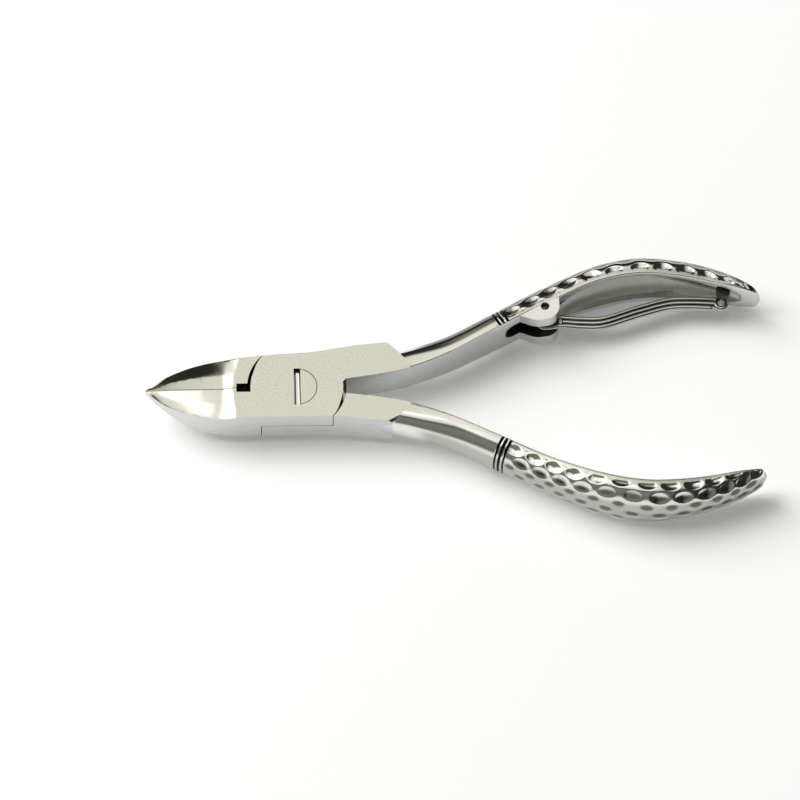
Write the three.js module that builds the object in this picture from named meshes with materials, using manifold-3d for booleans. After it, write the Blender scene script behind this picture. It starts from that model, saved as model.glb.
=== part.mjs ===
// Lap-joint nipper with hammered handles and a wire spring stowed along one handle.
// Millimetres. +X runs from the pivot to the handle ends, +Z is up out of the flat joint, and the
// origin is on the pivot axis at the joint's flat underside. The jaws are closed.
//
// Lever A carries the upper half of the lap joint, the jaw at -Y and the handle at +Y.
// Lever B carries the lower half, the jaw at +Y and the handle at -Y.

import * as THREE from 'three';
import { LoftGeometry } from 'three/addons/geometries/LoftGeometry.js';
import { mergeVertices } from 'three/addons/utils/BufferGeometryUtils.js';
import Module from 'manifold-3d';

// ---- driving dimensions -------------------------------------------------------------------

// Lap joint
const jointThickness = 7.6;
const lapGap = 0.1; // between the two half-thickness layers
const lapRadius = 8.6; // round end of each half-thickness layer
const lapEndGap = 0.6; // from that round end to the other lever's shoulder
const jointHalfWidth = 6.25; // at the jaw root
const shoulderX = 17.5; // where the flat joint ends and the neck begins
const jointSwell = [ // by how much the joint widens, at shares of its run to the shoulder
  [[0, 0], [0.377, -0.05], [0.63, 0.1], [1, 1.2]], // on the plain lever's side
  [[0, 0], [0.153, 0.45], [0.498, 1.05], [0.762, 2.2], [1, 2.8]], // on the sprung lever's side
];
const shoulderChamfer = 3.6; // how far the flat face runs on, narrowing, past the shoulder
const neckBand = 1.8; // flat band beside the inner rim of the neck
const outerFullness = 0.87; // shape of a handle's round outer side: 1 is an ellipse, less is fuller
const crotchEase = 0.07; // radians by which the lap's round end stops short of the crotch

// Jaws
const jawLength = 28.1; // pivot axis to the tip
const jawRootX = -10.6; // where the sloping top of the jaw meets the flat joint face
const cuttingGap = 0.1; // between the closed cutting edges
const edgeDrop = 0.4; // cutting edge below the flat joint face
const flankDrop = 1.3; // outer edge of the jaw's top below the flat joint face
const tipThickness = 1.4;
const undersideRise = [2.3, 1.15, 0.55, 0.25]; // heights of the jaw's underside towards the root
const reliefDepth = 0.6; // hollow behind each cutting edge
const notchLength = 2.6; // stress notch behind the cutting edges
const notchHalfWidth = 0.87;

// Handles
const handleEndX = 86.5;
const crotchX = 9.2; // where the two necks part
const handleSpread = 21.6; // widest point of the inner rim, from the centre line
const handleDepth = 5.0; // inner rim to outermost point
const handleHeight = 11.4; // tallest section
const rimWall = 1.2; // channel's rims
const channelWall = 1.5; // back of the channel
const channelLead = 1.8; // from the ear pin to the channel's start
const channelTail = 3.5; // from the channel's end to the handle's end
const channelRunout = 2.175; // how slowly the channel's floor rises at its ends

// Pivot screw
const screwHeadRadius = 3.8;
const screwHeadHeight = 2.0;
const screwShankRadius = 2.2;
const screwSlotWidth = 1.2;
const screwSlotDepth = 0.9;
const runningGap = 0.05; // radial clearance of every round fit

// Spring ears on lever A
const earPinX = 46.4;
const earPinInset = 0.6; // pin axis in front of the handle's inner rim
const earRadius = 2.7;
const earRunIn = 4.8; // from where the ears leave the rim to the pin
const slotRunIn = 7.4; // from the slot's shallow end to the pin
const earGap = 4.1; // slot between the two ears
const earSlotDepth = 1.9; // slot's floor behind the rim, at its shallow end
const earSlotRunout = 1.0; // extra depth where the slot meets the channel
const pinRadius = 0.75;
const pinRecess = 0.5; // pin ends below the ears' faces

// Spring wire
const wireRadius = 0.465;
const strandPress = 0.06; // by which neighbouring strands of the working leg are pressed together
const strandDrop = 1.3; // strands below the middle of the handle
const turnGap = 0.07; // between the turns round the pin
const coilEase = 0.03; // between the wire and the pin's running clearance
const anchorTurns = 1.5;
const anchorSag = 0.3; // run of the anchor leg below its top turn
const eyeInset = 7.2; // eye centre to the handle's end
const eyeDrop = 1.35; // eye centre in front of the inner rim
const eyeBore = 0.515; // free radius inside the eye
const strandEndGap = 1.6; // cut end of the lowest strand to the eye centre

// Catch barrel at the end of the anchor leg
const barrelRadius = 1.35;
const barrelHeight = 1.7;
const barrelChamfer = 0.25;
const barrelOffset = [0.4, 1.45, 2.1]; // from the eye centre to the barrel's middle
const socketClearance = 0.09; // round the wire in the barrel's socket
const socketDepth = 0.7; // from the wire's end to the barrel's middle

// ---- tools: three.js geometry in, manifold booleans, three.js geometry out ------------------

const wasm = await Module();
wasm.setup();

function toSolid(geometry) {
  const bare = new THREE.BufferGeometry().copy(geometry);
  bare.deleteAttribute('normal');
  bare.deleteAttribute('uv');
  const merged = mergeVertices(bare, 1e-5);
  return new wasm.Manifold(new wasm.Mesh({
    numProp: 3,
    vertProperties: new Float32Array(merged.attributes.position.array),
    triVerts: new Uint32Array(merged.index.array),
  }));
}

function toGeometry(solid) {
  const mesh = solid.getMesh();
  const geometry = new THREE.BufferGeometry();
  geometry.setAttribute('position', new THREE.Float32BufferAttribute(mesh.vertProperties, 3));
  geometry.setIndex(new THREE.Uint32BufferAttribute(mesh.triVerts, 1));
  geometry.computeVertexNormals();
  return geometry;
}

// A flat outline, extruded from z = bottom to z = top.
function slab(shape, bottom, top, curveSegments = 24) {
  const options = { depth: top - bottom, bevelEnabled: false, curveSegments };
  return toSolid(new THREE.ExtrudeGeometry(shape, options).translate(0, 0, bottom));
}

// A round bar along Z.
function bar(radius, bottom, top, x = 0, y = 0, segments = 48) {
  const profile = [[0, bottom], [radius, bottom], [radius, top], [0, top]];
  return toSolid(lathe(profile, segments).translate(x, y, 0));
}

// A body of revolution about Z from (radius, z) pairs.
function lathe(profile, segments = 48) {
  const points = profile.map(([radius, z]) => new THREE.Vector2(radius, z));
  return new THREE.LatheGeometry(points, segments).rotateX(Math.PI / 2);
}

// A solid skinned through cross-sections of (y, z) pairs, each at its own x.
function skin(sections, side) {
  const rings = sections.map(({ x, outline }) => {
    const ring = outline.map(([y, z]) => new THREE.Vector3(x, side * y, z));
    return side > 0 ? ring : ring.reverse();
  });
  return toSolid(new LoftGeometry(rings, { capStart: true, capEnd: true }));
}

// Evenly spaced values from first to last.
function spaced(first, last, count) {
  return Array.from({ length: count + 1 }, (_, i) => first + (last - first) * i / count);
}

// ---- profiles along X -----------------------------------------------------------------------

const midZ = jointThickness / 2;
const clearTop = jointThickness + 3; // above everything that a cut has to pass
const clearBottom = -3;

// Smooth values through stations [x, a, b, ...]; returns a function of x.
function along(stations) {
  const values = stations.flatMap((station) => station.slice(1));
  const curve = new THREE.CubicInterpolant(stations.map((station) => station[0]), values,
    stations[0].length - 1);
  return (x) => Array.from(curve.evaluate(x));
}

const jointEdges = jointSwell.map((stations) => along(stations.map(([share, swell]) => [
  jawRootX + share * (shoulderX - jawRootX),
  jointHalfWidth + swell,
])));

// Half-width of the flat joint at x, on the plain lever's side (-1) or the sprung lever's (1).
function jointEdge(x, side) {
  return jointEdges[side > 0 ? 1 : 0](x)[0];
}

// Jaw outline and faces, as shares of the length from tip (0) to root (1):
// half-width, cutting edge height, flank edge height, underside height.
const jawTipX = -jawLength;
const jawRun = jawRootX - jawTipX;
const jawRunOut = 0.4; // the jaw's cuts run this far into the joint
const cuttingZ = jointThickness - edgeDrop;
const flankZ = jointThickness - flankDrop;
const jawFaces = along([
  [jawTipX, 0, cuttingZ - 0.3, flankZ + 0.2, flankZ - tipThickness + 0.6],
  [jawTipX + 0.16 * jawRun, jointHalfWidth * 0.38, cuttingZ - 0.1, flankZ + 0.05, midZ + 0.7],
  [jawTipX + 0.37 * jawRun, jointHalfWidth * 0.68, cuttingZ, flankZ, undersideRise[0]],
  [jawTipX + 0.58 * jawRun, jointHalfWidth * 0.88, cuttingZ, flankZ, undersideRise[1]],
  [jawTipX + 0.82 * jawRun, jointHalfWidth * 0.985, cuttingZ, flankZ + 0.35, undersideRise[2]],
  [jawTipX + 0.93 * jawRun, jointHalfWidth * 0.998, jointThickness, jointThickness - 0.45,
    undersideRise[3]],
  [jawRootX + jawRunOut, jointHalfWidth, jointThickness + 0.2, jointThickness + 0.2, 0],
]);

// Handle: distance of the inner rim from the centre line, depth from the rim to the outermost
// point, height, and width of the flat band beside the rim.
const handleRun = handleEndX - crotchX;
const handleStations = [
  // share of the run, of the spread, of the depth, height, band
  [0, 0.07, 0.8, jointThickness, neckBand],
  [0.1, 0.125, 1.0, jointThickness, neckBand],
  [0.153, 0.17, 1.02, jointThickness, neckBand],
  [0.243, 0.292, 0.98, jointThickness + 0.13 * (handleHeight - jointThickness), 0.8],
  [0.347, 0.487, 0.97, jointThickness + 0.4 * (handleHeight - jointThickness), 0.8],
  [0.476, 0.731, 0.97, jointThickness + 0.55 * (handleHeight - jointThickness), 1.05],
  [0.605, 0.926, 0.97, handleHeight, 1.25],
  [0.709, 1, 0.96, handleHeight * 0.985, 1.25],
  [0.799, 0.986, 0.93, handleHeight * 0.88, 1.2],
  [0.864, 0.949, 0.88, handleHeight * 0.78, 1.0],
  [0.942, 0.889, 0.66, handleHeight * 0.67, 0.6],
  [0.983, 0.859, 0.4, handleHeight * 0.52, 0.25],
  [1, 0.847, 0.2, handleHeight * 0.36, 0.1],
];
const handleProfile = along(handleStations.map(([share, rim, depth, height, band]) => [
  crotchX + share * handleRun,
  rim * handleSpread,
  depth * handleDepth,
  height,
  band,
]));
const rimY = (x) => handleProfile(x)[0];
const heightAt = (x) => handleProfile(x)[2];

// ---- handles --------------------------------------------------------------------------------

const channelStartX = earPinX + channelLead;
const channelEndX = handleEndX - channelTail;

// D-shaped section: flat inner side, a flat band above and below, round outer side.
function handleSection(x) {
  const [rim, depth, height, band] = handleProfile(x);
  const round = spaced(-Math.PI / 2, Math.PI / 2, 12).map((angle) => [
    rim + band + (depth - band) * Math.pow(Math.cos(angle), outerFullness),
    midZ + height / 2 * Math.sign(angle) * Math.pow(Math.abs(Math.sin(angle)), outerFullness),
  ]);
  return { x, outline: [[rim, midZ - height / 2], ...round, [rim, midZ + height / 2]] };
}

function handleSolid(side) {
  const stations = [
    ...spaced(shoulderX - 3, handleEndX - 6, 24),
    ...spaced(handleEndX - 5, handleEndX, 5),
  ];
  return skin(stations.map(handleSection), side);
}

// Channel in the handle's inner side: a rounded box section that shrinks to nothing at its ends.
function channelSection(x) {
  const [rim, depth, height] = handleProfile(x);
  const middle = (channelStartX + channelEndX) / 2;
  const reach = (channelEndX - channelStartX) / 2;
  const rise = Math.pow(Math.abs(x - middle) / reach, reach / channelRunout);
  const fade = Math.sqrt(Math.max(0, 1 - rise));
  const halfHeight = (height / 2 - rimWall) * (0.35 + 0.65 * fade);
  const floor = Math.max(0.02, (depth - channelWall) * fade);
  const round = spaced(-Math.PI / 2, Math.PI / 2, 8).map((angle) => [
    rim + floor * Math.pow(Math.cos(angle), 0.6),
    midZ + halfHeight * Math.sign(Math.sin(angle)) * Math.pow(Math.abs(Math.sin(angle)), 0.8),
  ]);
  return { x, outline: [[rim - 1, midZ - halfHeight], ...round, [rim - 1, midZ + halfHeight]] };
}

function channelSolid(side) {
  return skin(spaced(channelStartX, channelEndX, 20).map(channelSection), side);
}

// ---- joint and jaws -------------------------------------------------------------------------

// Outline of a lever's joint and jaw, drawn with the jaw at -y; the lower lever's is mirrored.
function leverOutline(layer) {
  const angleBack = Math.PI - Math.asin(jointEdge(-6, layer) / lapRadius);
  const angleNotch = Math.PI + Math.asin(notchHalfWidth / lapRadius);
  const angleFront = -Math.asin(jointEdge(6, -layer) / lapRadius);
  const frontX = lapRadius * Math.cos(angleFront);
  const jawX = spaced(jawTipX, jawRootX, 12);
  const flatX = spaced(jawRootX, frontX, 4).slice(1, -1);
  const neckX = spaced(crotchX, shoulderX + shoulderChamfer, 6);
  const backX = spaced(shoulderX, lapRadius * Math.cos(angleBack), 8).slice(0, -1);
  const shape = new THREE.Shape();
  shape.moveTo(jawTipX, -cuttingGap / 2);
  for (const x of jawX.slice(1)) {
    shape.lineTo(x, -Math.max(jawFaces(x)[0], 0.2));
  }
  for (const x of flatX) {
    shape.lineTo(x, -jointEdge(x, -layer));
  }
  const angleCrotch = Math.asin(rimY(crotchX) / lapRadius) - crotchEase;
  shape.absarc(0, 0, lapRadius, angleFront, angleCrotch, false);
  for (const x of neckX) {
    shape.lineTo(x, rimY(x));
  }
  shape.lineTo(shoulderX + shoulderChamfer, rimY(shoulderX + shoulderChamfer) + neckBand);
  for (const x of backX) {
    shape.lineTo(x, jointEdge(x, layer));
  }
  shape.absarc(0, 0, lapRadius, angleBack, angleNotch, false);
  shape.lineTo(-lapRadius - notchLength, -notchHalfWidth);
  shape.lineTo(-lapRadius - notchLength, -cuttingGap / 2);
  return shape;
}

// The same outline reflected in the centre line.
function mirrored(shape) {
  const points = shape.getPoints(24).map(({ x, y }) => new THREE.Vector2(x, -y));
  return new THREE.Shape(points.reverse());
}

// Everything above the sloping top of a jaw.
function jawTopCut(side) {
  const reach = jointHalfWidth + 2;
  const sections = spaced(jawTipX - 0.5, jawRootX + jawRunOut, 18).map((x) => {
    const [halfWidth, edgeZ, outerZ] = jawFaces(Math.max(x, jawTipX));
    const slope = (outerZ - edgeZ) / Math.max(halfWidth, 1);
    const below = [[-1, edgeZ - slope], [reach, edgeZ + slope * reach]];
    return { x, outline: [...below, [reach, clearTop], [-1, clearTop]] };
  });
  return skin(sections, side);
}

// Everything below the rising underside of a jaw.
function jawUnderCut(side) {
  const reach = jointHalfWidth + 2;
  const sections = spaced(jawTipX - 0.5, jawRootX + jawRunOut, 14).map((x) => {
    const underZ = jawFaces(Math.max(x, jawTipX))[3];
    const below = [[-1, clearBottom], [reach, clearBottom]];
    return { x, outline: [...below, [reach, underZ], [-1, underZ]] };
  });
  return skin(sections, side);
}

// Hollow behind the cutting edge, on the jaw's inner face.
function jawRelief(side) {
  const face = cuttingGap / 2;
  const sections = spaced(jawTipX + 2, jawRootX - jawRunOut, 6).map((x) => {
    const [halfWidth, edgeZ] = jawFaces(x);
    const depth = Math.min(reliefDepth, halfWidth / 3);
    const hollow = [[face + depth, clearBottom], [face, edgeZ - 1]];
    return { x, outline: [[-1, clearBottom], ...hollow, [-1, edgeZ - 1]] };
  });
  return skin(sections, side);
}

// A whole lever. layer is +1 for the upper half of the joint and -1 for the lower half.
function lever(layer) {
  const outline = layer > 0 ? leverOutline(layer) : mirrored(leverOutline(layer));
  const jawSide = -layer;
  const handleSide = layer;
  const lapFace = midZ + layer * lapGap / 2;
  const otherLayer = layer > 0
    ? bar(lapRadius + lapEndGap, clearBottom, lapFace, 0, 0, 72)
    : bar(lapRadius + lapEndGap, lapFace, clearTop, 0, 0, 72);
  return slab(outline, 0, jointThickness)
    .subtract(otherLayer)
    .subtract(jawTopCut(jawSide))
    .subtract(jawUnderCut(jawSide))
    .subtract(jawRelief(jawSide))
    .add(handleSolid(handleSide))
    .subtract(channelSolid(handleSide));
}

// ---- spring ears ----------------------------------------------------------------------------

const earPinY = rimY(earPinX) - earPinInset;
const earRootX = earPinX - earRunIn;
const earHalfHeight = heightAt(earPinX) / 2;

function earSolid() {
  const rootY = rimY(earRootX);
  const shape = new THREE.Shape();
  const frontY = earPinY - earRadius;
  shape.moveTo(earRootX, rootY + 1);
  shape.lineTo(earRootX, rootY);
  shape.quadraticCurveTo(earPinX - 0.9 * earRadius, frontY, earPinX, frontY);
  shape.absarc(earPinX, earPinY, earRadius, -Math.PI / 2, 0.2, false);
  shape.lineTo(earPinX + earRadius, rimY(earPinX + earRadius) + 1);
  return slab(shape, midZ - earHalfHeight, midZ + earHalfHeight, 10);
}

// Slot between the ears, running into the handle's channel.
function earSlot() {
  const startX = earPinX - slotRunIn;
  const endX = channelStartX + 2;
  const clearY = earPinY - 2 * earRadius - 2;
  const shape = new THREE.Shape();
  shape.moveTo(startX, clearY);
  shape.lineTo(startX, rimY(startX));
  for (const x of spaced(startX + 2, endX, 5)) {
    shape.lineTo(x, rimY(x) + earSlotDepth + earSlotRunout * (x - startX) / (endX - startX));
  }
  shape.lineTo(endX, clearY);
  return slab(shape, midZ - earGap / 2, midZ + earGap / 2);
}

// ---- spring wire ----------------------------------------------------------------------------

const strandZ = midZ - strandDrop;
const strandPitch = 2 * wireRadius - strandPress;
const turnPitch = 2 * wireRadius + turnGap;
const coilRadius = pinRadius + runningGap + wireRadius + coilEase;
const eyeX = handleEndX - eyeInset;
const eyeY = rimY(eyeX) - eyeDrop;
const eyeRadius = eyeBore + wireRadius; // centre line of the eye

function wire(points, steps) {
  const section = new THREE.Shape();
  section.absarc(0, 0, wireRadius, 0, 2 * Math.PI, false);
  const path = new THREE.CatmullRomCurve3(points, false, 'centripetal');
  const options = { steps, curveSegments: 4, bevelEnabled: false, extrudePath: path };
  return toSolid(new THREE.ExtrudeGeometry(section, options));
}

// Points round the ear pin, from one angle to another, rising or falling with the turn.
function coilPoints(fromAngle, toAngle, fromZ, toZ, count) {
  const angles = spaced(fromAngle, toAngle, count);
  return angles.map((angle, i) => new THREE.Vector3(
    earPinX + coilRadius * Math.cos(angle),
    earPinY + coilRadius * Math.sin(angle),
    fromZ + (toZ - fromZ) * i / count,
  ));
}

// Points that follow the inner rim between the ear pin and the eye, from pairs of
// (share of the way, distance behind the rim).
function besideRim(bends, shiftY, z) {
  return bends.map(([share, behind]) => {
    const x = earPinX + share * (eyeX - earPinX);
    return new THREE.Vector3(x, rimY(x) + behind + shiftY, z);
  });
}

// Centre line of the three-strand working leg, from the ears to the eye.
const legBends = [[0.097, -2.18], [0.2, -4], [0.322, -5.4], [0.535, -4.5], [0.705, -2.83],
  [0.809, -2.28]];

function strand(offset, endX) {
  const shiftY = offset * strandPitch;
  const bends = besideRim(legBends, shiftY, strandZ);
  return [...bends, new THREE.Vector3(endX, eyeY + shiftY, strandZ)];
}

function workingLeg() {
  const hairpin = coilPoints(-Math.PI / 2, -1.5 * Math.PI, strandZ, strandZ, 8);
  const lowest = strand(-1, eyeX - strandEndGap).reverse();
  const looped = wire([...lowest, ...hairpin, ...strand(1, eyeX - 0.6)], 96);
  const middle = wire(strand(0, eyeX - eyeRadius), 36);
  const ring = spaced(0, 2 * Math.PI, 10).slice(0, -1).map((angle) => [
    eyeRadius + wireRadius * Math.cos(angle),
    strandZ + wireRadius * Math.sin(angle),
  ]);
  ring.push(ring[0]);
  const eye = toSolid(lathe(ring, 24).translate(eyeX, eyeY, 0));
  return looped.add(middle).add(eye);
}

// Anchor leg: turns round the ear pin above the working leg, then lies in the channel and comes
// out of it to the catch barrel.
const anchorTopZ = midZ + earGap / 2 - wireRadius - runningGap;
const anchorBends = [[0.122, 1.45], [0.261, 2.2], [0.429, 2.55], [0.581, 2.25], [0.778, 1.13]];
const barrelX = eyeX + barrelOffset[0];
const barrelY = eyeY + barrelOffset[1];
const barrelZ = strandZ + barrelOffset[2];

function anchorLegPoints() {
  const turn = 2 * Math.PI * anchorTurns;
  const bottomZ = anchorTopZ - turnPitch * anchorTurns;
  const coil = coilPoints(Math.PI / 2 + turn, Math.PI / 2, bottomZ, anchorTopZ, 20);
  const run = besideRim(anchorBends, 0, anchorTopZ - anchorSag);
  return [...coil, ...run, new THREE.Vector3(barrelX - socketDepth, barrelY + 0.2, barrelZ)];
}

function catchBarrel() {
  const half = barrelHeight / 2;
  const profile = [
    [0, barrelZ - half],
    [barrelRadius - barrelChamfer, barrelZ - half],
    [barrelRadius, barrelZ - half + barrelChamfer],
    [barrelRadius, barrelZ + half - barrelChamfer],
    [barrelRadius - barrelChamfer, barrelZ + half],
    [0, barrelZ + half],
  ];
  return toSolid(lathe(profile, 24).translate(barrelX, barrelY, 0));
}

// Socket for the end of the anchor leg, in the barrel's side.
function barrelSocket(legPoints) {
  const end = legPoints[legPoints.length - 1];
  const before = new THREE.CatmullRomCurve3(legPoints, false, 'centripetal').getPoint(0.97);
  const direction = end.clone().sub(before).normalize();
  const from = end.clone().addScaledVector(direction, -2.5);
  const to = end.clone().addScaledVector(direction, 0.1);
  const section = new THREE.Shape();
  section.absarc(0, 0, wireRadius + socketClearance, 0, 2 * Math.PI, false);
  const extrudePath = new THREE.LineCurve3(from, to);
  const options = { steps: 1, curveSegments: 6, bevelEnabled: false, extrudePath };
  return toSolid(new THREE.ExtrudeGeometry(section, options));
}

// ---- pivot screw and ear pin ----------------------------------------------------------------

const headSeatZ = jointThickness - screwHeadHeight;

function pivotScrew() {
  const profile = [
    [0, 0],
    [screwShankRadius, 0],
    [screwShankRadius, headSeatZ],
    [screwHeadRadius, headSeatZ],
    [screwHeadRadius, jointThickness],
    [0, jointThickness],
  ];
  const slot = new THREE.BoxGeometry(screwSlotWidth, 3 * screwHeadRadius, 2 * screwSlotDepth);
  return toSolid(lathe(profile)).subtract(toSolid(slot.translate(0, 0, jointThickness)));
}

// ---- assembly -------------------------------------------------------------------------------

const polishedSteel = { color: 0xd8d8d4, roughness: 0.22, metalness: 1 };
const springSteel = { color: 0xc9c8c0, roughness: 0.18, metalness: 1 };
const blackBarrel = { color: 0x111111, roughness: 0.4, metalness: 0.2 };

const nipper = new THREE.Group();

function addPiece(name, solid, look) {
  const mesh = new THREE.Mesh(toGeometry(solid), new THREE.MeshStandardMaterial(look));
  mesh.name = name;
  nipper.add(mesh);
}

const shankBore = bar(screwShankRadius + runningGap, clearBottom, clearTop);
const headBore = bar(screwHeadRadius + runningGap, headSeatZ - runningGap, clearTop);
const earPinBottom = midZ - earHalfHeight + pinRecess;
const earPinTop = midZ + earHalfHeight - pinRecess;
const pinBore = bar(pinRadius + runningGap, -6, clearTop + 3, earPinX, earPinY, 24);

addPiece('lever_a', lever(1).add(earSolid()).subtract(earSlot()).subtract(pinBore)
  .subtract(shankBore).subtract(headBore), polishedSteel);
addPiece('lever_b', lever(-1).subtract(shankBore), polishedSteel);
addPiece('pivot_screw', pivotScrew(), polishedSteel);
addPiece('spring_ear_pin', bar(pinRadius, earPinBottom, earPinTop, earPinX, earPinY, 24), springSteel);

const anchorPoints = anchorLegPoints();
addPiece('spring_anchor_leg', wire(anchorPoints, 76), springSteel);
addPiece('spring_working_leg', workingLeg(), springSteel);
addPiece('catch_barrel', catchBarrel().subtract(barrelSocket(anchorPoints)), blackBarrel);

export default nipper;
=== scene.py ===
import math

import bmesh
import bpy
from mathutils import Matrix, Vector


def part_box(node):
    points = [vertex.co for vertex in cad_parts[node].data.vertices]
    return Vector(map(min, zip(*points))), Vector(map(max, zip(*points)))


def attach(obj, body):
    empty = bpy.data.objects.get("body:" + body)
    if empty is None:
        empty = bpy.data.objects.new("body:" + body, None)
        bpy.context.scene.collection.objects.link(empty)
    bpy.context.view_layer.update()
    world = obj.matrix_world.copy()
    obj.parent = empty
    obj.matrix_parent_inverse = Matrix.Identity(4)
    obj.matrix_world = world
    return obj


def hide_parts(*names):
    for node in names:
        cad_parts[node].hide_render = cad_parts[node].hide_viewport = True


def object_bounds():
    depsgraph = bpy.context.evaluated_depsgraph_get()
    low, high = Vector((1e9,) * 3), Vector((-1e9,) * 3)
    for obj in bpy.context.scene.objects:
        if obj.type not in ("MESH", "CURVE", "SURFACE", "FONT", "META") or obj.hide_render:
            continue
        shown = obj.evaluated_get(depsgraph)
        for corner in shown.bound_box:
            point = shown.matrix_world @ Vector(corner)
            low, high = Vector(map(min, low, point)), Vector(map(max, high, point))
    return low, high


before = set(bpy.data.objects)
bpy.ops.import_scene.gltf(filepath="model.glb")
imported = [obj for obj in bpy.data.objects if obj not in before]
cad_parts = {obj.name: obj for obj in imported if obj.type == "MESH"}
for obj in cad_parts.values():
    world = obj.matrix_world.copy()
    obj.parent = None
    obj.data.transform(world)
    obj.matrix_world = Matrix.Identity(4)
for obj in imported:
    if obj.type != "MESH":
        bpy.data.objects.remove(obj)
cad_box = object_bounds()

MM = 0.001
scene = bpy.context.scene
scene.view_settings.view_transform = "Standard"


# ---- Camera ---------------------------------------------------------------------------------
# A long lens high above the tool's front side, turned a little to the left, so that the joint's
# flat top and the front faces of both levers show. It looks at a point between joint and handles.

camera_height = math.radians(62)
camera_turn = math.radians(-1.25)
camera_distance = 2.5
view_width = 0.14815
aim_to_the_right = 0.01911
aim_down = 0.00248
back = Vector((
    math.sin(camera_turn) * math.cos(camera_height),
    -math.cos(camera_turn) * math.cos(camera_height),
    math.sin(camera_height),
))
right = Vector((math.cos(camera_turn), math.sin(camera_turn), 0))
up = back.cross(right)
screw_top = Vector((0, 0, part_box("pivot_screw")[1].z))
aim = screw_top + right * aim_to_the_right - up * aim_down

camera = bpy.data.objects.new("camera", bpy.data.cameras.new("camera"))
camera.data.lens = camera.data.sensor_width * camera_distance / view_width
camera.location = aim + back * camera_distance
camera.rotation_euler = (-back).to_track_quat("-Z", "Y").to_euler()
scene.collection.objects.link(camera)
scene.camera = camera


# ---- Table and light ------------------------------------------------------------------------
# A white table, one broad soft lamp above and behind on the left, and a plain room for polished
# steel to show: white overhead, grey-green in front, dark behind, and two soft windows.

def feed(tree, node, inputs):
    """Gives a node's inputs their values, or links them to other nodes' outputs."""
    for name, source in inputs.items():
        if isinstance(source, bpy.types.NodeSocket):
            tree.links.new(source, node.inputs[name])
        else:
            node.inputs[name].default_value = source


def shader_node(tree, kind, inputs=None, **settings):
    """A new shader node with its settings and inputs."""
    node = tree.nodes.new("ShaderNode" + kind)
    for name, value in settings.items():
        setattr(node, name, value)
    feed(tree, node, inputs or {})
    return node


def new_material(name):
    """A material with its node tree and its main shader."""
    material = bpy.data.materials.new(name)
    material.use_nodes = True
    return material, material.node_tree, material.node_tree.nodes["Principled BSDF"]


table = bpy.data.meshes.new("table")
table_shape = bmesh.new()
bmesh.ops.create_grid(table_shape, x_segments=1, y_segments=1, size=4)
bmesh.ops.translate(table_shape, vec=(0, 0, cad_box[0].z), verts=table_shape.verts)
table_shape.to_mesh(table)
table_shape.free()
table = bpy.data.objects.new("table", table)
scene.collection.objects.link(table)

table_glow = 0.17
white, tree, surface = new_material("white table")
ray = shader_node(tree, "LightPath")
seen = shader_node(tree, "Math", {0: ray.outputs["Is Camera Ray"], 1: ray.outputs["Is Glossy Ray"]},
                   operation="MAXIMUM")
glow = shader_node(tree, "Math", {0: seen.outputs[0], 1: table_glow}, operation="MULTIPLY")
feed(tree, surface, {"Base Color": (0.84, 0.84, 0.84, 1), "Roughness": 0.9,
                     "Specular IOR Level": 0.1, "Emission Color": (1, 1, 1, 1),
                     "Emission Strength": glow.outputs[0]})
table.data.materials.append(white)

lamp_place = Vector((-0.78, 0.36, 0.96))
lamp = bpy.data.objects.new("soft lamp", bpy.data.lights.new("soft lamp", "AREA"))
lamp.data.shape = "SQUARE"
lamp.data.size = 1.0
lamp.data.energy = 15.5
lamp.visible_glossy = False
lamp.location = lamp_place
lamp.rotation_euler = (-lamp_place).to_track_quat("-Z", "Y").to_euler()
scene.collection.objects.link(lamp)

# Height above the horizon (0 to 1, as the sine) and the room's grey there.
room_in_front = [
    (0.0, (0.80, 0.80, 0.80)), (0.05, (0.70, 0.70, 0.68)), (0.17, (0.22, 0.21, 0.18)),
    (0.30, (0.15, 0.165, 0.14)), (0.60, (0.20, 0.22, 0.19)), (0.86, (0.20, 0.22, 0.19)),
    (0.94, (0.05, 0.05, 0.04)), (0.975, (0.90, 0.90, 0.86)), (1.0, (1.0, 1.0, 0.98)),
]
room_behind = [
    (0.0, (0.02, 0.02, 0.02)), (0.68, (0.02, 0.02, 0.02)), (0.74, (0.26, 0.25, 0.22)),
    (0.77, (0.40, 0.39, 0.35)), (0.83, (0.96, 0.95, 0.91)), (1.0, (1.0, 1.0, 0.98)),
]
room_behind_left = [
    (0.0, (0.02, 0.02, 0.02)), (0.22, (0.04, 0.038, 0.03)), (0.42, (0.10, 0.095, 0.08)),
    (0.50, (0.22, 0.21, 0.18)), (0.74, (0.30, 0.29, 0.25)), (0.83, (0.96, 0.95, 0.91)),
    (1.0, (1.0, 1.0, 0.98)),
]
room_on_the_right = (0.03, 0.03, 0.03, 1)
# How far along a direction each part of the room begins and where it is full.
behind_from, behind_full = -0.12, 0.12
left_from, left_full = -0.12, -0.28
right_from, right_full = 0.15, 0.4
windows = [
    # direction, the cosines where it begins and where it is full, its light
    ((-0.62, 0.36, 0.69), 0.87, 0.95, 1.2),
    ((-0.03, 0.21, 0.977), 0.990, 0.998, 0.85),
]

room = bpy.data.worlds.new("room")
scene.world = room
room.use_nodes = True
tree = room.node_tree
looking = shader_node(tree, "TexCoord").outputs["Generated"]
toward = shader_node(tree, "SeparateXYZ", {0: looking}).outputs


def by_height(greys):
    """The room's grey by the height looked at."""
    ramp = shader_node(tree, "ValToRGB", {0: toward["Z"]})
    for place, _ in greys[1:-1]:
        ramp.color_ramp.elements.new(place)
    for stop, (place, grey) in zip(ramp.color_ramp.elements, greys):
        stop.position = place
        stop.color = (*grey, 1)
    return ramp.outputs[0]


def soft_step(value, begins, full, most=1):
    """How far a value lies between two others, softened."""
    return shader_node(tree, "MapRange", {"Value": value, "From Min": begins, "From Max": full,
                                          "To Max": most},
                       interpolation_type="SMOOTHSTEP").outputs[0]


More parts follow.
